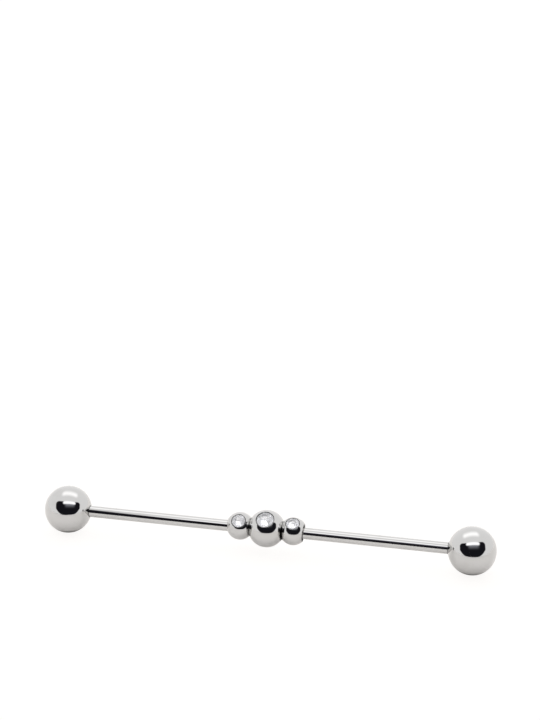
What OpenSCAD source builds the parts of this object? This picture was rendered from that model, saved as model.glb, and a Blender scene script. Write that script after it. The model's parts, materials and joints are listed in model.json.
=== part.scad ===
// Straight barbell earring: a round bar, an end ball on each end, and three
// stone-set beads side by side at the middle. Millimetres. The bar runs along X,
// the origin is on its axis half way between the balls, and the barbell lies on
// its two balls with the stones turned up and to the front (-Y).

/* [Bar] */
// Diameter of the bar, 16 gauge
bar_d = 1.2; // [1.0:0.1:1.2]
// Length that can be worn, from one ball to the other
wear_len = 38; // [30:1:45]

/* [End balls] */
// Diameter of each end ball
ball_d = 5; // [4:0.5:8]
// How far past a ball's rim the plain end of the bar goes in
post_len = 2.6; // [1.5:0.1:3.0]

/* [Beads] */
// Diameter of the middle bead
middle_bead_d = 3.9; // [3.8:0.1:4.4]
// Diameter of each side bead
side_bead_d = 2.9; // [2.9:0.1:3.4]
// Diameter of the flats on which the beads meet
flat_d = 1.9; // [1.8:0.1:2.0]
// How far the middle bead is from half way along the bar
cluster_shift = 0.1; // [-0.5:0.1:0.5]
// How far the middles of the beads are above the bar's axis, which leaves more
// metal between the hole and the seat of the stone
bead_lift = 0.12; // [0:0.02:0.12]
// Depth of the countersink at the outer end of the left bead
left_countersink = 0.2; // [0.05:0.05:0.35]
// The same of the right bead
right_countersink = 0.35; // [0.05:0.05:0.35]

/* [Stones] */
// Girdle diameter of the middle stone
middle_stone_d = 1.8; // [1.5:0.05:1.9]
// Girdle diameter of each side stone
side_stone_d = 1.4; // [1.1:0.05:1.4]
// How far the left stone leans forward from straight up, in degrees
left_lean = 38; // [0:1:60]
// The same of the middle stone
middle_lean = 29; // [0:1:60]
// The same of the right stone
right_lean = 22; // [0:1:60]

/* [Hidden] */

// Curves are exact, so the number of sides only sets the preview.
$fn = 96;

STEEL = [0.76, 0.76, 0.75];
CRYSTAL = [0.90, 0.94, 1.0];

// Gaps between pieces, on the radius for the holes
hole_gap = 0.02;
bead_gap = 0.03;
seat_gap = 0.06;
bearing_gap = 0.02;
// Chamfers at the mouths of the holes, and on the ends of the bar
ball_chamfer = 0.04;
bead_chamfer = 0.15;
bar_chamfer = 0.15;
// Free space left past the end of the bar in each ball
post_clear = 0.15;
// How far the table of a stone stands above the round of its bead
table_proud = 0.04;
// Enough to cut clean through a face
cut = 1;

// Brilliant cut, as shares of the girdle diameter and angles in degrees
table_share = 0.55;
culet_share = 0.12;
girdle_share = 0.025;
star_share = 0.5;
lower_share = 0.72;
crown_angle = 33;
pavilion_angle = 39;
mains = 8;
half_step = 180 / mains;

ball_x = wear_len / 2 + ball_d / 2;
hole_r = bar_d / 2 + hole_gap;

// Height of a round of diameter d above a flat or rim of diameter flat_d
function cap_height(d, flat_d) = sqrt(pow(d / 2, 2) - pow(flat_d / 2, 2));

middle_half = cap_height(middle_bead_d, flat_d);
side_half = cap_height(side_bead_d, flat_d);
side_x = middle_half + bead_gap + side_half;
bar_half = wear_len / 2 + post_len;

// Heights of a stone's parts, measured along its own axis from the girdle's lower edge
function girdle_h(d) = girdle_share * d;
function crown_h(d) = (d - table_share * d) / 2 * tan(crown_angle);
function pavilion_h(d) = (d / 2 - culet_share * d / 2 * cos(half_step)) * tan(pavilion_angle);
// Where the girdle's lower edge lies above the axis of a bead
function girdle_z(bead_d, stone_d) = cap_height(bead_d, table_share * stone_d)
    + table_proud - crown_h(stone_d) - girdle_h(stone_d);

// Points of a level ring of n corners
function ring(n, r, z, turn = 0) =
    [for (i = [0 : n - 1]) [r * cos(turn + i * 360 / n), r * sin(turn + i * 360 / n), z]];

// A hole along X with a chamfered mouth that faces +X at mouth_x
module hole(mouth_x, depth, chamfer) {
    translate([mouth_x - depth, 0, 0]) rotate([0, 90, 0]) {
        cylinder(h = depth + cut, r = hole_r);
        translate([0, 0, depth - chamfer])
            cylinder(h = chamfer + cut, r1 = hole_r, r2 = hole_r + chamfer + cut);
    }
}

module bar() {
    color(STEEL) rotate([0, 90, 0]) {
        cylinder(h = 2 * (bar_half - bar_chamfer), d = bar_d, center = true);
        for (side = [0, 1]) mirror([0, 0, side])
            translate([0, 0, bar_half - bar_chamfer])
                cylinder(h = bar_chamfer, r1 = bar_d / 2, r2 = bar_d / 2 - bar_chamfer);
    }
}

// The ball at the -X end, with the mouth of its hole towards the middle
module end_ball() {
    mouth_x = cap_height(ball_d, 2 * hole_r);
    depth = post_len + post_clear - (ball_d / 2 - mouth_x);
    color(STEEL) translate([-ball_x, 0, 0]) difference() {
        sphere(d = ball_d);
        hole(mouth_x, depth, ball_chamfer);
    }
}

module ball_left() {
    end_ball();
}

module ball_right() {
    mirror([1, 0, 0]) end_ball();
}

// The drilled seat of a stone: a well for its girdle, and a cone under its pavilion
module seat(bead_d, stone_d) {
    seat_r = stone_d / 2 + seat_gap;
    floor_r = culet_share * stone_d / 2 + bearing_gap;
    well_z = girdle_z(bead_d, stone_d) - bearing_gap;
    floor_z = well_z - pavilion_h(stone_d);
    top_z = bead_d / 2 + cut;
    rotate_extrude()
        polygon([[0, floor_z], [floor_r, floor_z], [seat_r, well_z], [seat_r, top_z], [0, top_z]]);
}

// What is cut from a bead at its +X end: the hole, and a flat where another bead
// stands beside it. A countersink of 0 stands for the flat, which has its own chamfer.
// The hole follows the bar, which lies level and under the middle of the leaning bead.
module bead_end(bead_d, lean, countersink) {
    is_flat = countersink == 0;
    chamfer = is_flat ? bead_chamfer : countersink;
    mouth_x = cap_height(bead_d, is_flat ? flat_d : 2 * (hole_r + chamfer));
    if (is_flat)
        translate([mouth_x, -bead_d / 2, -bead_d / 2]) cube([bead_d, bead_d, bead_d]);
    rotate([-lean, 0, 0]) translate([0, 0, -bead_lift]) hole(mouth_x, mouth_x, chamfer);
}

// A bead and its stone face up here, and on_bar() leans them forward. The countersinks
// are those of the left and of the right end.
module bead(bead_d, stone_d, lean, countersinks) {
    color(STEEL) difference() {
        sphere(d = bead_d);
        for (side = [0, 1]) mirror([1 - side, 0, 0]) bead_end(bead_d, lean, countersinks[side]);
        seat(bead_d, stone_d);
    }
}

// A round brilliant: table, 8 stars, 8 crown mains, 16 upper halves, a 16-sided
// girdle, 16 lower halves, 8 pavilion mains and a culet. The girdle's lower edge is at 0.
module stone(d) {
    r = d / 2;
    table_r = table_share * r;
    table_side = table_r * cos(half_step);
    star_r = table_side + star_share * (r - table_side);
    lower_r = (1 - lower_share) * r;
    culet_r = culet_share * r;
    // Height of the crown's and pavilion's mains under or over a corner between two of them
    star_z = girdle_h(d) + (r - star_r * cos(half_step)) * tan(crown_angle);
    lower_z = -(r - lower_r * cos(half_step)) * tan(pavilion_angle);
    corners = concat(
        ring(mains, table_r, girdle_h(d) + crown_h(d)),
        ring(mains, star_r, star_z, half_step),
        ring(2 * mains, r, girdle_h(d)),
        ring(2 * mains, r, 0),
        ring(mains, lower_r, lower_z, half_step),
        ring(mains, culet_r, -pavilion_h(d), half_step));
    // First corner of each ring
    star = mains;
    upper = 2 * mains;
    lower = 4 * mains;
    ridge = 6 * mains;
    culet = 7 * mains;
    facets = concat(
        [[for (k = [mains - 1 : -1 : 0]) k]],
        [for (k = [0 : mains - 1]) [k, (k + 1) % mains, star + k]],
        [for (k = [0 : mains - 1]) [k, star + k, upper + 2 * k, star + (k + mains - 1) % mains]],
        [for (k = [0 : mains - 1]) [star + k, upper + 2 * k + 1, upper + 2 * k]],
        [for (k = [0 : mains - 1]) [star + k, upper + (2 * k + 2) % (2 * mains), upper + 2 * k + 1]],
        [for (k = [0 : 2 * mains - 1]) let (next = (k + 1) % (2 * mains))
            [upper + k, upper + next, lower + next, lower + k]],
        [for (k = [0 : mains - 1]) [ridge + k, lower + 2 * k, lower + 2 * k + 1]],
        [for (k = [0 : mains - 1]) [ridge + k, lower + 2 * k + 1, lower + (2 * k + 2) % (2 * mains)]],
        [for (k = [0 : mains - 1]) let (last = (k + mains - 1) % mains)
            [lower + 2 * k, ridge + k, culet + k, culet + last, ridge + last]],
        [[for (k = [0 : mains - 1]) culet + k]]);
    color(CRYSTAL) polyhedron(points = corners, faces = facets);
}

module set_stone(bead_d, stone_d) {
    translate([0, 0, girdle_z(bead_d, stone_d)]) stone(stone_d);
}

// Puts a bead or its stone on the bar at x, leaning forward by an angle
module on_bar(x, lean) {
    translate([cluster_shift + x, 0, bead_lift]) rotate([lean, 0, 0]) children();
}

module bead_left() {
    on_bar(-side_x, left_lean)
        bead(side_bead_d, side_stone_d, left_lean, [left_countersink, 0]);
}

module bead_middle() {
    on_bar(0, middle_lean) bead(middle_bead_d, middle_stone_d, middle_lean, [0, 0]);
}

module bead_right() {
    on_bar(side_x, right_lean)
        bead(side_bead_d, side_stone_d, right_lean, [0, right_countersink]);
}

module stone_left() {
    on_bar(-side_x, left_lean) set_stone(side_bead_d, side_stone_d);
}

module stone_middle() {
    on_bar(0, middle_lean) set_stone(middle_bead_d, middle_stone_d);
}

module stone_right() {
    on_bar(side_x, right_lean) set_stone(side_bead_d, side_stone_d);
}

bar();
ball_left();
ball_right();
bead_left();
bead_middle();
bead_right();
stone_left();
stone_middle();
stone_right();
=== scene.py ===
# %% [markdown]
# # Dressing a barbell earring
#
# The object is a straight barbell for two piercings: a thin steel bar, a ball on
# each end, and three small beads at the middle that each hold a clear stone. Its
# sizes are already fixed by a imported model, so this lesson only gives it its look:
# smooth polished surfaces, edges that are softened as a buffing wheel leaves them,
# cut stones that bend the light, and the white studio that the steel mirrors.
#
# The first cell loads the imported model. Its nodes stand in metres at their true
# places, and every piece made here has to ride on the body that carries them.

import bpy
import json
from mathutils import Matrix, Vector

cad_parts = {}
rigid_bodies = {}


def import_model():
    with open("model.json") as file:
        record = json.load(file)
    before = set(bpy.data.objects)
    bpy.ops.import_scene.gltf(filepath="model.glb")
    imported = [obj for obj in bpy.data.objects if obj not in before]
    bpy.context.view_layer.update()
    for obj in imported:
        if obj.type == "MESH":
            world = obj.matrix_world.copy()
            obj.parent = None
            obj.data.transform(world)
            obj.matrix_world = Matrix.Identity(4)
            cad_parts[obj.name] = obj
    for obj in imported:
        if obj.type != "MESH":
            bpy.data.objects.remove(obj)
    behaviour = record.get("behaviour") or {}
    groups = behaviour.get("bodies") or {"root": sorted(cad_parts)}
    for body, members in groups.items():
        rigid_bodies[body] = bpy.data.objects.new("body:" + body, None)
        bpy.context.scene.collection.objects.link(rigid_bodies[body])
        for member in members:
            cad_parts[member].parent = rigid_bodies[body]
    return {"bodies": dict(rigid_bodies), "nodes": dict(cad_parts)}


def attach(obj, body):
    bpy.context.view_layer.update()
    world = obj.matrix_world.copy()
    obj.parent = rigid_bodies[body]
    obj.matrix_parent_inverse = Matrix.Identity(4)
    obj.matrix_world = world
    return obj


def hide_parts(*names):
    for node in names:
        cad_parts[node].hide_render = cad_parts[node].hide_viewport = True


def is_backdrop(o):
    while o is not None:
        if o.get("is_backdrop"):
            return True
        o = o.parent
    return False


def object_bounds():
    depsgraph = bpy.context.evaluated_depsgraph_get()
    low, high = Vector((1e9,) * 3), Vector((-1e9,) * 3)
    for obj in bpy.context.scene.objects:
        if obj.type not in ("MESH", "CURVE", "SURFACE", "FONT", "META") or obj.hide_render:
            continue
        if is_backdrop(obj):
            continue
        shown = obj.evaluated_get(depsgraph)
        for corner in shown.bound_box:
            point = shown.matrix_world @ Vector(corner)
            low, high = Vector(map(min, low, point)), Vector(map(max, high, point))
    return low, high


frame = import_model()
cad_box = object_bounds()
body = next(iter(frame["bodies"]))
print("body:", body, "- nodes:", ", ".join(sorted(frame["nodes"])))
print("size in mm:", [round(1000 * (high - low), 2) for low, high in zip(*cad_box)])

# %% [markdown]
# ## The camera
#
# Steel is a mirror, so where the camera stands decides what the earring shows. It
# stood low and a little to the right, with the barbell small and below the middle
# of an upright picture. A long lens from 18 cm away gives the balls their slightly
# different sizes. The numbers came from fitting both balls and the bar's two ends.
# All sizes in this file are millimetres until `mm()` turns them into metres.

# %% Set up the camera
import json
import math

import bmesh
import bpy
from mathutils import Matrix, Vector

CAMERA_AT = (34.29, -157.29, 87.41)
CAMERA_AIM = (0.452, 0.009, 19.200)
LENS, SENSOR = 87.54, 36
NEAREST, FARTHEST = 5, 20000


def mm(*lengths):
    """Lengths in millimetres as a vector, or as one number, in metres."""
    return Vector(lengths) / 1000 if len(lengths) > 1 else lengths[0] / 1000


camera = bpy.data.objects.new("camera", bpy.data.cameras.new("camera"))
bpy.context.scene.collection.objects.link(camera)
bpy.context.scene.camera = camera
camera.data.lens = LENS
camera.data.sensor_width = SENSOR
camera.data.clip_start, camera.data.clip_end = mm(NEAREST), mm(FARTHEST)
camera.location = mm(*CAMERA_AT)
sight = mm(*CAMERA_AIM) - mm(*CAMERA_AT)
camera.rotation_euler = sight.to_track_quat("-Z", "Y").to_euler()
print(f"camera {1000 * sight.length:.0f} mm from its aim, lens {LENS} mm")

# %% [markdown]
# ## Writing shaders as formulas
#
# Blender's materials and worlds are trees of nodes. Placing nodes one by one makes
# long code, so this small helper lets a tree be written as a formula: each call
# adds one node, joins what it is given, and returns the socket that comes out.

# %% A helper for node trees
class Tree:
    """A node tree that is written like a formula."""

    def __init__(self, owner):
        owner.use_nodes = True
        self.nodes, self.links = owner.node_tree.nodes, owner.node_tree.links
        self.nodes.clear()

    def add(self, kind, out=0, sockets=None, **settings):
        """One node. Its sockets get values, or links to what other nodes put out."""
        made = self.nodes.new("ShaderNode" + kind)
        for name, value in settings.items():
            setattr(made, name, value)
        for name, value in (sockets or {}).items():
            if isinstance(value, bpy.types.NodeSocket):
                self.links.new(value, made.inputs[name])
            else:
                made.inputs[name].default_value = value
        return made.outputs[out] if len(made.outputs) else made

    def math(self, operation, *values):
        return self.add("Math", sockets=dict(enumerate(values)), operation=operation)

    def squared(self, value):
        return self.math("MULTIPLY", value, value)

    def away(self, value, centre):
        """How far a value is from a centre, on either side of it."""
        return self.math("ABSOLUTE", self.math("SUBTRACT", value, centre))

    def vector(self, operation, *values, out=0):
        return self.add("VectorMath", out, dict(enumerate(values)), operation=operation)

    def scale(self, value, factor):
        return self.add("VectorMath", sockets={0: value, "Scale": factor}, operation="SCALE")

    def ease(self, value, low, high, start=0.0, stop=1.0):
        """A soft step: start where value is at low, stop where it is at high."""
        return self.add("MapRange", sockets=dict(enumerate((value, low, high, start, stop))),
                        interpolation_type="SMOOTHSTEP")

    def mix(self, share, first, second):
        """A colour between two. The Mix node has sockets of its own for colours."""
        return self.add("Mix", 2, {0: share, 6: first, 7: second}, data_type="RGBA")


# %% [markdown]
# ## The studio
#
# The earring lies on a white table inside a round light tent. The only dark thing
# is the tent's opening, through which the camera looks in. In a polished ball that
# opening is the black bowl near the middle. A strip lamp at the top of the opening
# fills the bowl's top with light, and a second strip, a little past overhead, gives
# the bright arc above it. Area lamps and black cards could do the same, but each
# of them is hard-edged and stands in the way of the others, so here all of it is
# drawn on the tent by one formula.
#
# The tent is a sphere of glowing cloth as large as the camera is far, so that the
# opening shows in the middle of both balls. It is hidden from the camera itself.
# The easy way to lay it out is by where each thing shows in a mirror ball. For a
# place in direction d, and the direction c to the photographer, a ball mirrors d
# where its surface faces half way between the two. How far that lies right of
# and above the ball's middle, as shares of its radius, are `across` and `up`.

# %% Sew the light tent
tent_r = mm(*CAMERA_AT).length
bpy.ops.mesh.primitive_uv_sphere_add(segments=96, ring_count=48, radius=tent_r)
tent = bpy.context.object
tent.name = "light_tent"
tent.visible_camera = False
tent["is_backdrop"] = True
cloth = bpy.data.materials.new("tent_cloth")
cloth.cycles.emission_sampling = "NONE"
tent.data.materials.append(cloth)
tree = Tree(cloth)

to_camera = Vector(CAMERA_AT).normalized()
rightward = Vector((0, 0, 1)).cross(to_camera).normalized()
upward = to_camera.cross(rightward)

direction = tree.vector("NORMALIZE", tree.add("TexCoord", "Object"))
half_way = tree.vector("NORMALIZE", tree.vector("ADD", direction, to_camera))
across = tree.vector("DOT_PRODUCT", half_way, rightward, out="Value")
up = tree.vector("DOT_PRODUCT", half_way, upward, out="Value")
print("tent radius in mm:", round(1000 * tent_r, 1))

# %% [markdown]
# The opening and both lamps are boxes with round corners on that mirror ball. The
# formula gives how far a place is outside such a box, and less than nothing inside
# it. An `ease` over a narrow stretch of that makes a crisp edge, and over a wide
# one a soft edge.

# %% Draw boxes with round corners
def outside_box(box, roundness, height):
    """How far a place on the mirror ball is outside a box with round corners."""
    middle_across, middle_up, half_width, half_height = box
    past = []
    for place, middle, half in ((across, middle_across, half_width),
                                (height, middle_up, half_height)):
        beyond = tree.math("SUBTRACT", tree.away(place, middle), half)
        past.append(tree.math("ADD", beyond, roundness))
    over = [tree.squared(tree.math("MAXIMUM", side, 0.0)) for side in past]
    bend = tree.math("SQRT", tree.math("ADD", *over))
    within = tree.math("MINIMUM", tree.math("MAXIMUM", *past), 0.0)
    return tree.math("SUBTRACT", tree.math("ADD", bend, within), roundness)


def bowed(amount):
    """The height, bent so that a box hangs down at its ends, or rises if it is negative."""
    return tree.math("ADD", up, tree.math("MULTIPLY", tree.squared(across), amount))


# %% [markdown]
# The cloth is brightest where it faces the lamps, so it grows lighter towards the
# back. The opening has tight upper corners and wide lower ones, and its lower edge
# rises a little at both ends. Light from the low lamp spills into its top. A pair
# of numbers below is where one of these changes starts and where it is complete,
# unless a comment says otherwise.

# %% Cut the opening
CLOTH_FRONT, CLOTH_BACK = (1.09, 1.09, 1.10, 1.0), (1.13, 1.13, 1.14, 1.0)
CLOTH_UP = (0.50, 0.85)
DARK = (0.012, 0.012, 0.016, 1.0)
SPILL = (0.46, 0.47, 0.53, 1.0)
SPILL_UP, SPILL_CURVE = (-0.02, 0.27), 1.6
SPILL_MIDDLE, SPILL_ASIDE = 0.06, (0.27, 0.12)
OPENING = (-0.005, 0.03, 0.51, 0.29)    # middle across and up, half width and height
OPENING_EDGE = (0.015, -0.02)
CORNER_UP, CORNERS = (-0.05, 0.20), (0.35, 0.13)    # two heights, and the corner at each
BOW_UP, BOWS = (0.20, -0.10), (0.0, -0.20)          # two heights, and the bow at each

colour = tree.mix(tree.ease(up, *CLOTH_UP), CLOTH_FRONT, CLOTH_BACK)
spill = tree.mix(tree.math("POWER", tree.ease(up, *SPILL_UP), SPILL_CURVE), DARK, SPILL)
spill = tree.mix(tree.ease(tree.away(across, SPILL_MIDDLE), *SPILL_ASIDE), DARK, spill)
roundness = tree.ease(up, *CORNER_UP, *CORNERS)
bent_up = bowed(tree.ease(up, *BOW_UP, *BOWS))
opening = tree.ease(outside_box(OPENING, roundness, bent_up), *OPENING_EDGE)
colour = tree.mix(opening, colour, spill)
print(f"the opening covers {OPENING[2]:.0%} of a mirror ball's width")

# %% [markdown]
# Each lamp is a soft strip that hangs down at its ends. In a real stone the light
# turns back and forth many times before it leaves. The silvered stones made below
# send it back after one or two turns, so the rays that have passed through a stone
# see a brighter and more even tent instead.

# %% Hang the lamps
LAMPS = {  # light, box, bow, and the soft edge from outside to inside
    "low": ((1.90, 1.90, 1.95, 1.0), (0.03, 0.28, 0.26, 0.05), 0.3, (0.04, -0.035)),
    "high": ((1.75, 1.75, 1.77, 1.0), (0.01, 0.665, 0.29, 0.05), 0.6, (0.10, -0.05)),
}
LAMP_ROUNDNESS = 0.05
SPARKLE, EVENNESS = 2.2, 0.45
EVEN_LIGHT = (1.35, 1.35, 1.35, 1.0)

for name, (light, box, bow, edge) in LAMPS.items():
    lamp = tree.ease(outside_box(box, LAMP_ROUNDNESS, bowed(bow)), *edge)
    colour = tree.mix(lamp, colour, light)
    print(f"the {name} lamp shows {box[1]:.0%} of the way from a ball's middle to its top")
sparkle = tree.mix(EVENNESS, tree.scale(colour, SPARKLE), EVEN_LIGHT)
colour = tree.mix(tree.add("LightPath", "Is Transmission Ray"), colour, sparkle)
glow = tree.add("Emission", sockets={"Color": colour})
tree.add("OutputMaterial", sockets={"Surface": glow})
print("cloth, opening and lamps in", len(tree.nodes), "nodes")

# %% [markdown]
# ## The table
#
# Plain white paper, so wide that its edge is only seen mirrored in the steel, and
# round, so that no corners show there. To the camera it glows, as an overexposed
# table top does, which keeps the shadows under the balls faint. A bright lamp would
# bleach it too, but would also show in the steel. What the steel mirrors of the
# paper glows less, and least of all right under the two balls, so each ball has a
# thin dark crescent at its foot.

# %% Lay the paper
PAPER_R = 3000
PAPER_THIN, PAPER_THICK = (0.84, 0.82, 0.80, 1.0), (0.88, 0.86, 0.84, 1.0)
PAPER_SHADED = (0.38, 0.37, 0.36, 1.0)
PAPER_SEEN = (0.12, 0.12, 0.12, 1.0)
GLOW_TINT = (1.0, 0.985, 0.97, 1.0)
GLOW_SEEN, GLOW_MIRRORED, GLOW_SHADED = 0.93, 0.25, 0.08
FEET = (-21.5, 21.5)                    # where the balls stand
SHADED_FROM, SHADED_TO = 2.0, 0.9       # distances from where a ball stands

floor_z = cad_box[0].z
bpy.ops.mesh.primitive_circle_add(vertices=96, radius=mm(PAPER_R), fill_type="NGON",
                                  location=(0, 0, floor_z))
paper = bpy.context.object
paper.name = "paper"
paper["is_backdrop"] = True
paper_finish = bpy.data.materials.new("white_paper")
paper.data.materials.append(paper_finish)
tree = Tree(paper_finish)
spot = tree.add("TexCoord", "Object")
fibres = tree.add("TexNoise", sockets={"Vector": spot, "Scale": 900.0})
sheet = tree.mix(fibres, PAPER_THIN, PAPER_THICK)
feet = [tree.vector("DISTANCE", spot, mm(x, 0, 0), out="Value") for x in FEET]
shaded = tree.ease(tree.math("MINIMUM", *feet), mm(SHADED_FROM), mm(SHADED_TO))
sheet = tree.mix(shaded, sheet, PAPER_SHADED)
mirrored_glow = tree.ease(shaded, 0.0, 1.0, GLOW_MIRRORED, GLOW_SHADED)
seen = tree.add("LightPath", "Is Camera Ray")
surface = tree.add("BsdfPrincipled", sockets={
    "Base Color": tree.mix(seen, sheet, PAPER_SEEN),
    "Roughness": 0.95, "Specular IOR Level": 0.1,
    "Emission Color": GLOW_TINT,
    "Emission Strength": tree.ease(seen, 0.0, 1.0, mirrored_glow, GLOW_SEEN)})
tree.add("OutputMaterial", sockets={"Surface": surface})
print(f"paper at z = {1000 * floor_z:.2f} mm")

# %% [markdown]
# A white world lights what lies outside the tent. The standard view shows the
# light as it is, where a film-like one would turn the white table grey.

# %% Light the room
WHITE = (1.0, 1.0, 1.0, 1.0)

world = bpy.data.worlds.new("white_room")
bpy.context.scene.world = world
tree = Tree(world)
room = tree.add("Background", sockets={"Color": WHITE})
tree.add("OutputWorld", sockets={"Surface": room})
bpy.context.scene.view_settings.view_transform = "Standard"
print("view:", bpy.context.scene.view_settings.view_transform)

# %% [markdown]
# ## Outlines with soft corners
#
# Every steel piece of the barbell was turned on a lathe and then buffed, so its
# section is a few lines and arcs whose corners are slightly round. A Bevel modifier
# could round them, but a mirror finish shows the least error in how a surface
# faces. So an outline here is a list of legs, each a straight line or an arc about
# the origin, in the plane of (along the axis, out from the axis). `outline` walks
# along the legs, puts a small curve at each corner, and keeps for every point the
# exact way the surface faces.

# %% Walk along an outline
def walk(leg, skip_start, skip_end, step):
    """Points and headings along one leg, without a stretch at either end."""
    if leg[0] == "arc":
        _, radius, start, stop = leg
        turn = math.copysign(1, stop - start)
        length = radius * abs(stop - start)
    else:
        start, stop = Vector(leg[1]), Vector(leg[2])
        length = (stop - start).length
    count = max(2, math.ceil((length - skip_start - skip_end) / step))
    for i in range(count + 1):
        gone = skip_start + (length - skip_start - skip_end) * i / count
        if leg[0] == "arc":
            angle = start + turn * gone / radius
            yield (radius * Vector((math.cos(angle), math.sin(angle))),
                   turn * Vector((-math.sin(angle), math.cos(angle))))
        else:
            heading = (stop - start) / length
            yield start + heading * gone, heading


def corner(before, after, count=6):
    """A curve from one point and heading to another, without its ends."""
    (p, u), (q, v) = before, after
    gap = q - p
    reach = (gap.x * v.y - gap.y * v.x) / (u.x * v.y - u.y * v.x)
    knee = p + u * reach
    for i in range(1, count):
        t = i / count
        yield (p * (1 - t) ** 2 + knee * 2 * t * (1 - t) + q * t * t,
               ((knee - p) * (1 - t) + (q - knee) * t).normalized())


def outline(legs, soft, step):
    """Rows of (point, facing) along all the legs, with each corner softened."""
    walked = []
    for i, leg in enumerate(legs):
        part = list(walk(leg, soft if i else 0, soft if i < len(legs) - 1 else 0, step))
        if walked:
            walked += corner(walked[-1], part[0])
        walked += part
    return [(point, Vector((-heading.y, heading.x))) for point, heading in walked]


disc = [("line", (0, 1), (1, 1)), ("line", (1, 1), (1, 0))]
print("a disc's square corner becomes", len(outline(disc, 0.1, 0.5)), "rows")

# %% [markdown]
# ## Turning on the lathe
#
# A turned piece is its outline swept round an axis. Blender's Screw modifier
# could do that, but building the rings in mesh code lets each vertex keep its
# exact facing, which `finish_piece` hands to the mesh as its normals. A ring of
# no radius becomes a single point.

# %% Sweep an outline round the X axis
FACING = "facing"
ON_AXIS = 1e-6      # what is nearer to the axis than this is on it


def facing_layer(mesh):
    layers = mesh.verts.layers.float_vector
    return layers.get(FACING) or layers.new(FACING)


def turned(axis, spot, angle):
    """A place in an outline's plane, turned by an angle round the X or the Z axis."""
    along, out = spot
    round_way = (out * math.cos(angle), out * math.sin(angle))
    return Vector((along, *round_way) if axis == "X" else (*round_way, along))


def ring(mesh, axis, row, angles):
    """One ring of vertices, or one vertex where the outline meets the axis."""
    layer = facing_layer(mesh)
    point, facing = row
    if point.y < ON_AXIS:
        angles, facing = angles[:1], Vector((facing.x, 0))
    made = [mesh.verts.new(turned(axis, point, angle)) for angle in angles]
    for vertex, angle in zip(made, angles):
        vertex[layer] = turned(axis, facing, angle).normalized()
    return made


def join_rings(mesh, first, second):
    """Faces between two rings, either of which may be a single point."""
    count = max(len(first), len(second))
    for i in range(count):
        j = (i + 1) % count
        corners = [first[i % len(first)], first[j % len(first)],
                   second[j % len(second)], second[i % len(second)]]
        mesh.faces.new(list(dict.fromkeys(corners)))


def lathe(rows, sides, closed=False):
    """A mesh swept round the X axis. A closed one joins its last ring to its first."""
    mesh = bmesh.new()
    angles = [2 * math.pi * i / sides for i in range(sides)]
    rings = [ring(mesh, "X", row, angles) for row in rows]
    for first, second in zip(rings, rings[1:] + rings[:1] if closed else rings[1:]):
        join_rings(mesh, first, second)
    return mesh


# %% [markdown]
# The last step is the same for every steel piece: scale it to metres, lean it and
# put it at its place, turn its faces the way they face, and hang it on the body
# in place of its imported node.

# %% Make a piece out of a mesh
def finish_piece(name, mesh, node, place=(0, 0, 0), lean=0.0):
    """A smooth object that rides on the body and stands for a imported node."""
    stand = (Matrix.Translation(mm(*place)) @ Matrix.Rotation(math.radians(lean), 4, "X")
             @ Matrix.Scale(mm(1), 4))
    layer = facing_layer(mesh)
    facings = [stand.to_quaternion() @ vertex[layer] for vertex in mesh.verts]
    bmesh.ops.recalc_face_normals(mesh, faces=mesh.faces)
    bmesh.ops.transform(mesh, matrix=stand, verts=mesh.verts)
    data = bpy.data.meshes.new(name)
    mesh.to_mesh(data)
    mesh.free()
    data.attributes.remove(data.attributes[FACING])
    data.shade_smooth()
    data.normals_split_custom_set_from_vertices(facings)
    made = bpy.data.objects.new(name, data)
    bpy.context.scene.collection.objects.link(made)
    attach(made, body)
    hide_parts(node)
    print(f"{name}: {len(data.vertices)} vertices, {len(data.polygons)} faces")
    return made


# %% [markdown]
# ## The bar
#
# A 16 gauge bar, 1.2 mm thick. Its ends are hidden inside the balls, where the
# real one carries its thread. A plain cylinder would do for what shows, but it has
# sharp ends, and the lathe makes the chamfered ones as easily. Along the bar nothing
# changes, so its rings are far apart, while 96 sides round it keep the dark line
# that it mirrors crisp.

# %% Turn the bar
BAR_D = 1.2
BAR_HALF = 21.6
BAR_CHAMFER = 0.15
BAR_STEP, BAR_SIDES = 0.5, 96
SOFT = 0.03

bar_r = BAR_D / 2
bar_rows = outline([
    ("line", (-BAR_HALF, 0), (-BAR_HALF, bar_r - BAR_CHAMFER)),
    ("line", (-BAR_HALF, bar_r - BAR_CHAMFER), (-BAR_HALF + BAR_CHAMFER, bar_r)),
    ("line", (-BAR_HALF + BAR_CHAMFER, bar_r), (BAR_HALF - BAR_CHAMFER, bar_r)),
    ("line", (BAR_HALF - BAR_CHAMFER, bar_r), (BAR_HALF, bar_r - BAR_CHAMFER)),
    ("line", (BAR_HALF, bar_r - BAR_CHAMFER), (BAR_HALF, 0))], SOFT, BAR_STEP)
bar = finish_piece("bar_polished", lathe(bar_rows, BAR_SIDES), "bar")

# %% [markdown]
# ## The end balls
#
# Each ball is 5 mm across and has a blind hole for the bar. A sphere with a hole
# cut by a Boolean would have ragged faces round the hole's mouth. So the outline
# starts at the ball's outer pole, goes over the round to the mouth, and down the
# hole to its floor. The right ball is the left one mirrored.

# %% Turn the balls
BALL_D = 5.0
WEAR_LENGTH = 38.0
HOLE_R = 0.62
HOLE_FLOOR = -0.25
STEP, BALL_SIDES = 0.07, 128

ball_r = BALL_D / 2
mouth = math.sqrt(ball_r ** 2 - HOLE_R ** 2)
ball_rows = outline([
    ("arc", ball_r, math.pi, math.asin(HOLE_R / ball_r)),
    ("line", (mouth, HOLE_R), (HOLE_FLOOR, HOLE_R)),
    ("line", (HOLE_FLOOR, HOLE_R), (HOLE_FLOOR, 0))], SOFT, STEP)


def mirrored(rows):
    return [(Vector((-point.x, point.y)), Vector((-facing.x, facing.y)))
            for point, facing in rows]


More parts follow.
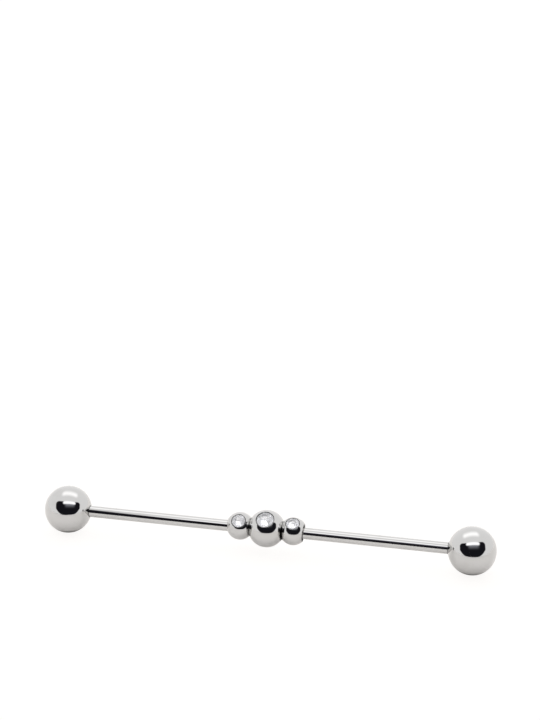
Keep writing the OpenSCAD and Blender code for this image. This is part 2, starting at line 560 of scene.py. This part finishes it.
ball_x = (WEAR_LENGTH + BALL_D) / 2
balls = []
for side, rows, x in (("left", ball_rows, -ball_x), ("right", mirrored(ball_rows), ball_x)):
    balls.append(finish_piece(f"ball_{side}_polished", lathe(rows, BALL_SIDES),
                              f"ball_{side}", (x, 0, 0)))

# %% [markdown]
# ## The beads
#
# A bead is a ball with a hole for the bar and a drilled seat for its stone. The
# stone decides the seat's size, and these are the sizes that both come from. The
# beads stand side by side, and each leans forward by its own angle, as beads do
# that were turned by hand before they were fixed. Their middles are a little
# above the bar.

# %% Size the beads and the stones
BEADS = {  # width, stone's width, place along the bar, lean, countersinks (0 for a flat)
    "left": (2.9, 1.40, -2.728, 38, (0.20, 0)),
    "middle": (3.9, 1.80, 0.100, 29, (0, 0)),
    "right": (2.9, 1.40, 2.928, 22, (0, 0.35)),
}
BEAD_LIFT = 0.12
TABLE, CULET, GIRDLE = 0.55, 0.12, 0.025    # shares of the stone's width
CROWN, PAVILION = math.radians(33), math.radians(39)
TABLE_PROUD = 0.04


def half_length(width, flat):
    """From the middle of a round to a flat or rim of this width on it."""
    return math.sqrt(width ** 2 - flat ** 2) / 2


def girdle_height(width, stone):
    """Height of the lower edge of a stone's girdle over the middle of its bead."""
    crown = (1 - TABLE) * stone / 2 * math.tan(CROWN)
    return half_length(width, TABLE * stone) + TABLE_PROUD - GIRDLE * stone - crown


for name, (width, stone, *_) in BEADS.items():
    print(f"{name} stone: girdle {girdle_height(width, stone):.2f} mm over the bead's middle")

# %% [markdown]
# Two things are turned round the bar's axis in one go, the round of the bead and
# its hole. Where a bead meets its neighbour, its end is a flat with a chamfered
# hole. An open end stays round and has a countersink.

# %% Draw the outline of a bead
FLAT_D = 1.9
BEAD_CHAMFER = 0.15
BEAD_SOFT = 0.02


def bead_end(width, countersink):
    """The outline from a bead's top over its right end and back inside its hole."""
    chamfer = countersink or BEAD_CHAMFER
    mouth_r = HOLE_R + chamfer
    end_r = mouth_r if countersink else FLAT_D / 2
    half = half_length(width, 2 * end_r)
    legs = [("arc", width / 2, math.pi / 2, math.asin(2 * end_r / width))]
    if not countersink:
        legs.append(("line", (half, end_r), (half, mouth_r)))
    legs += [("line", (half, mouth_r), (half - chamfer, HOLE_R)),
             ("line", (half - chamfer, HOLE_R), (0, HOLE_R))]
    return outline(legs, BEAD_SOFT, STEP)


def bead_outline(width, countersinks):
    left, right = (bead_end(width, countersink) for countersink in countersinks)
    return right + mirrored(left[1:-1])[::-1]


print("rows of the middle bead:", len(bead_outline(BEADS["middle"][0], BEADS["middle"][-1])))

# %% [markdown]
# A hole that is turned with the round is in the bead's middle, while the bar goes
# through below it. So `lower_hole` slides the rings of the hole down. In a flat end
# that is a plain shift. In a round end the rim has to stay on the ball and on the
# cone of the countersink, and `wider_rim` gives its new width for every direction.
# From the mouth outwards the shift fades away.

# %% Slide the hole down to the bar
FADED = 0.9         # share of a round end's radius from which nothing is shifted
ON_BALL = 1e-4      # what is less than this inside the ball's surface is on it


def wider_rim(radius, mouth_r, slide):
    """How much a lowered countersink's rim widens where it slides this far outwards."""
    # The rim is at the r at which the countersink, x = cone + r, meets the ball.
    cone = half_length(2 * radius, 2 * mouth_r) - mouth_r
    half = cone + slide
    met = math.sqrt(half ** 2 - 2 * (cone ** 2 + BEAD_LIFT ** 2 - radius ** 2))
    return (met - half) / 2 - mouth_r


def lower_hole(mesh, radius, lean, countersinks):
    """Slides a bead's hole, drawn in its middle, to where the bar goes through."""
    layer = facing_layer(mesh)
    angle = math.radians(lean)
    shift = Vector((0, -math.sin(angle), -math.cos(angle))) * BEAD_LIFT
    for vertex in mesh.verts:
        side = math.copysign(1, vertex.co.x)
        countersink = countersinks[side > 0]
        mouth_r = HOLE_R + (countersink or BEAD_CHAMFER)
        spoke = Vector((0, vertex.co.y, vertex.co.z))
        out = spoke.length
        spoke.normalize()
        outer_r = FADED * radius if countersink else FLAT_D / 2 - BEAD_SOFT
        inner_r = mouth_r + BEAD_SOFT
        share = min(max((outer_r - out) / (outer_r - inner_r), 0), 1)
        lowered = countersink and share
        wider = wider_rim(radius, mouth_r, shift.dot(spoke)) if lowered else 0
        if lowered and vertex.co.length > radius - ON_BALL:
            place = shift * share + spoke * (out + wider * share)
            place.x = side * math.sqrt(radius ** 2 - place.length_squared)
            vertex[layer] = place.normalized()
        else:
            wider *= (out - HOLE_R) / (mouth_r - HOLE_R)
            place = shift * share + spoke * (out + wider)
            place.x = vertex.co.x + side * wider
        vertex.co = place


# %% [markdown]
# A seat is a short wall round the stone's girdle, then a cone under it. Its axis
# is square to the bar's but also goes through the ball's middle, so its rim on the
# ball is a true circle. A Boolean would leave thin faces there that show in the
# polish. Here a flat cut takes the cap off, and the open edge is then drawn
# inwards ring by ring along the seat's own outline.

# %% Drill the seat
SEAT_GAP = 0.06
BEARING_GAP = 0.02
HALF_STEP = math.pi / 8     # from a corner of the eight-sided culet to the middle of a side
NEAR_RIM = 0.02             # vertices this near the cut are moved onto the rim


def seat_outline(width, stone):
    radius, seat_r = width / 2, stone / 2 + SEAT_GAP
    well = girdle_height(width, stone) - BEARING_GAP
    floor = well - (1 - CULET * math.cos(HALF_STEP)) * stone / 2 * math.tan(PAVILION)
    floor_r = CULET * stone / 2 + BEARING_GAP
    rim = math.asin(seat_r / radius)
    run_up = 3 * SOFT / radius
    return outline([
        ("arc", radius, rim + run_up, rim),
        ("line", (radius * math.cos(rim), seat_r), (well, seat_r)),
        ("line", (well, seat_r), (floor, floor_r)),
        ("line", (floor, floor_r), (floor, 0))], SOFT, STEP)


def bearing(vertex):
    return math.atan2(vertex.co.y, vertex.co.x)


def cut_seat(mesh, rows):
    """Puts the rings of a seat round the Z axis in place of the bead's cap."""
    layer = facing_layer(mesh)
    height, rim = rows[0][0]
    for vertex in mesh.verts:
        if abs(vertex.co.z - height) < NEAR_RIM:
            vertex.co = turned("Z", (height, rim), bearing(vertex))
    bmesh.ops.bisect_plane(mesh, geom=[*mesh.verts, *mesh.edges, *mesh.faces], dist=1e-6,
                           plane_co=(0, 0, height), plane_no=(0, 0, 1), clear_outer=True)
    loop = {vertex for edge in mesh.edges if edge.is_boundary for vertex in edge.verts}
    loop = sorted(loop, key=bearing)
    angles = [bearing(vertex) for vertex in loop]
    for vertex, angle in zip(loop, angles):
        vertex.co = turned("Z", (height, rim), angle)
        vertex[layer] = vertex.co.normalized()
    for row in rows[1:]:
        inner = ring(mesh, "Z", row, angles)
        join_rings(mesh, loop, inner)
        loop = inner


# %% [markdown]
# With these helpers a bead is made upright about its own middle: turn it, slide
# its hole down, and drill its seat. Last it is leaned forward and put on the bar.

# %% Make the three beads
BEAD_SIDES = 112

beads = []
for name, (width, stone, x, lean, countersinks) in BEADS.items():
    mesh = lathe(bead_outline(width, countersinks), BEAD_SIDES, closed=True)
    lower_hole(mesh, width / 2, lean, countersinks)
    cut_seat(mesh, seat_outline(width, stone))
    beads.append(finish_piece(f"bead_{name}_polished", mesh, f"bead_{name}",
                              (x, 0, BEAD_LIFT), lean))

# %% [markdown]
# ## Polished steel
#
# The joints get painted shade: the steel's colour is darkened where little light
# reaches in. It could be painted by hand, but the Ambient Occlusion node finds the
# joints by itself: it tells how open the air is round a place. The painted shade
# then counts only near the bar and not high up, where light from above still
# reaches, which keeps it off the rims of the seats. Round the left bead it is
# fainter, as it is on the real one.

# %% Paint shade into the joints
# Painted shade in the joints is laid only near the bar's axis and low down, where light from
# above doesn't reach, and fainter round the left bead.
PAINTED_SHADE_OUT = (1.25, 1.10)                # distances from the bar's axis
PAINTED_SHADE_UP = (0.92, 0.75)                 # heights over it
FAINT_AT, FAINT_ALONG = -2.7, (1.5, 2.2)
FAINT, FULL = 0.35, 1.0


def painted_shade_share(tree, spot, reach, unshaded_at, shaded_at):
    """How much painted shade there is, from none where the air is open to 1 where it is
    closed in.
    """
    open_air = tree.add("AmbientOcclusion", "AO", {"Distance": mm(reach)}, samples=16)
    across_bar = tree.vector("MULTIPLY", spot, (0.0, 1.0, 1.0))
    from_axis = tree.vector("LENGTH", across_bar, out="Value")
    height = tree.add("SeparateXYZ", "Z", {"Vector": spot})
    along = tree.add("SeparateXYZ", "X", {"Vector": spot})
    near = tree.ease(from_axis, *map(mm, PAINTED_SHADE_OUT))
    low = tree.ease(height, *map(mm, PAINTED_SHADE_UP))
    strong = tree.ease(tree.away(along, mm(FAINT_AT)), *map(mm, FAINT_ALONG), FAINT, FULL)
    share = tree.ease(open_air, unshaded_at, shaded_at)
    for limit in (near, low, strong):
        share = tree.math("MULTIPLY", share, limit)
    return share


# %% [markdown]
# Surgical steel mirrors a little under 60% of the light and is nearly neutral.
# What tells it from a perfect mirror is small: hairlines from the buffing wheel,
# which run round a ball but along a drawn bar, and patches that a finger has
# dulled. Each is a noise of the right size: it changes the roughness by a few
# hundredths or tips the surface by a hair. One flat roughness would look like
# chromed plastic. The noises' scales are per metre, as the pieces are in metres.

# %% Mix the steel
STEEL_CLEAR, STEEL_DULLED = (0.580, 0.575, 0.565, 1.0), (0.555, 0.548, 0.535, 1.0)
# The near black below is painted shade for the joints, and the last roughness is added where
# that shade lies.
PAINTED_SHADE = (0.015, 0.014, 0.013, 1.0)
DULL_ROUGH, HAIRLINE_ROUGH, PAINTED_SHADE_ROUGH = 0.04, 0.03, 0.4
HAIRLINE_DEPTH = 0.02
PATCH = (0.45, 0.75)        # the noise at which a dulled patch starts and is full


def steel(name, hairlines, crevice):
    """A polished steel with hairlines stretched along the axes and painted shade in its
    joints.
    """
    finish = bpy.data.materials.new(name)
    tree = Tree(finish)
    spot = tree.add("TexCoord", "Object")
    lines = tree.add("TexNoise", sockets={"Vector": tree.vector("MULTIPLY", spot, hairlines),
                                          "Scale": 1.0, "Detail": 3.0})
    patches = tree.add("TexNoise", sockets={"Vector": spot, "Scale": 700.0, "Detail": 4.0})
    dull = tree.ease(patches, *PATCH)
    # Painted shade: in the joints the steel's colour darkens to near black.
    painted_shade = painted_shade_share(tree, spot, *crevice)
    shade = tree.mix(painted_shade, tree.mix(dull, STEEL_CLEAR, STEEL_DULLED), PAINTED_SHADE)
    rough = tree.math("ADD", tree.math("MULTIPLY", dull, DULL_ROUGH),
                      tree.math("MULTIPLY", lines, HAIRLINE_ROUGH))
    rough = tree.math("ADD", rough, tree.math("MULTIPLY", painted_shade, PAINTED_SHADE_ROUGH))
    ripple = tree.add("Bump", sockets={"Strength": 0.02, "Distance": mm(HAIRLINE_DEPTH),
                                       "Height": lines})
    surface = tree.add("BsdfPrincipled", sockets={
        "Base Color": shade, "Metallic": 1.0, "Roughness": rough, "Normal": ripple})
    tree.add("OutputMaterial", sockets={"Surface": surface})
    return finish


# %% [markdown]
# The bar, the balls and the beads each get a steel of their own, because their
# hairlines run another way and their joints are not equally deep.

# %% Dress the steel pieces
ALONG_BAR = (50.0, 4000.0, 4000.0)          # stretch of the noise along X, Y and Z
ROUND_BALL = (12000.0, 1500.0, 1500.0)
CREVICES = {  # reach, and how open the air is where the painted shade starts and where it is full
    "bar": (0.22, 0.85, 0.60),
    "ball": (0.20, 0.75, 0.45),
    "bead": (0.45, 0.88, 0.65),
}


def dress(pieces, finish):
    for piece in pieces:
        piece.data.materials.clear()
        piece.data.materials.append(finish)
        print(piece.name, "wears", finish.name)


dress([bar], steel("bar_steel", ALONG_BAR, CREVICES["bar"]))
dress(balls, steel("ball_steel", ROUND_BALL, CREVICES["ball"]))
dress(beads, steel("bead_steel", ROUND_BALL, CREVICES["bead"]))

# %% [markdown]
# ## The clear stones
#
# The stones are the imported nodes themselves: 58 flat facets and a 16-sided girdle,
# which must stay sharp. Stones this small are silvered on the back, so that what
# enters the top is thrown back out. Glass all the way through would show the dark
# seat instead. So the finish is clear glass down to the girdle and a bright mirror
# below it. The height along the stone's own axis tells the two apart.

# %% Mix the stones' finishes and dress them
GLASS_WORN, GLASS_CLEAR = (0.97, 0.97, 1.0, 1.0), (1.0, 1.0, 1.0, 1.0)
SILVER_WORN, SILVER_CLEAR = (0.93, 0.93, 0.94, 1.0), (0.98, 0.98, 0.98, 1.0)
SILVER_FROM, SILVER_TO = 0.005, 0.015       # depths under the girdle's lower edge


def clear_stone(name, lean, height):
    """Glass above a height along a leaning axis, and silvering below it."""
    finish = bpy.data.materials.new(name)
    tree = Tree(finish)
    spot = tree.add("TexCoord", "Object")
    wear = tree.add("TexNoise", sockets={"Vector": spot, "Scale": 5000.0, "Detail": 4.0})
    glass = tree.add("BsdfPrincipled", sockets={
        "Base Color": tree.mix(wear, GLASS_WORN, GLASS_CLEAR),
        "Roughness": tree.ease(wear, 0.5, 0.8, 0.0, 0.06),
        "Transmission Weight": 0.85, "IOR": 1.6})
    silver = tree.add("BsdfPrincipled", sockets={
        "Base Color": tree.mix(wear, SILVER_WORN, SILVER_CLEAR),
        "Roughness": tree.ease(wear, 0.3, 0.7, 0.12, 0.22), "Metallic": 1.0})
    axis = Vector((0, -math.sin(math.radians(lean)), math.cos(math.radians(lean))))
    along = tree.vector("DOT_PRODUCT", spot, axis, out="Value")
    silvered = tree.ease(along, mm(height - SILVER_FROM), mm(height - SILVER_TO))
    surface = tree.add("MixShader", sockets={0: silvered, 1: glass, 2: silver})
    tree.add("OutputMaterial", sockets={"Surface": surface})
    return finish


for name, (width, stone, _, lean, _) in BEADS.items():
    node = frame["nodes"][f"stone_{name}"]
    girdle = girdle_height(width, stone) + BEAD_LIFT * math.cos(math.radians(lean))
    dress([node], clear_stone(f"clear_stone_{name}", lean, girdle))
    print(node.name, "has", len(node.data.polygons), "triangles")

# %% [markdown]
# ## Measure
#
# The dressed barbell must keep the imported model's size. Its box is measured again,
# and how much it grew over the imported one is printed.

# %% Compare the boxes
new_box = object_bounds()
grown = [[round(1000 * (b - a), 4) for a, b in zip(*ends)] for ends in zip(cad_box, new_box)]
print("grew by mm:", grown)
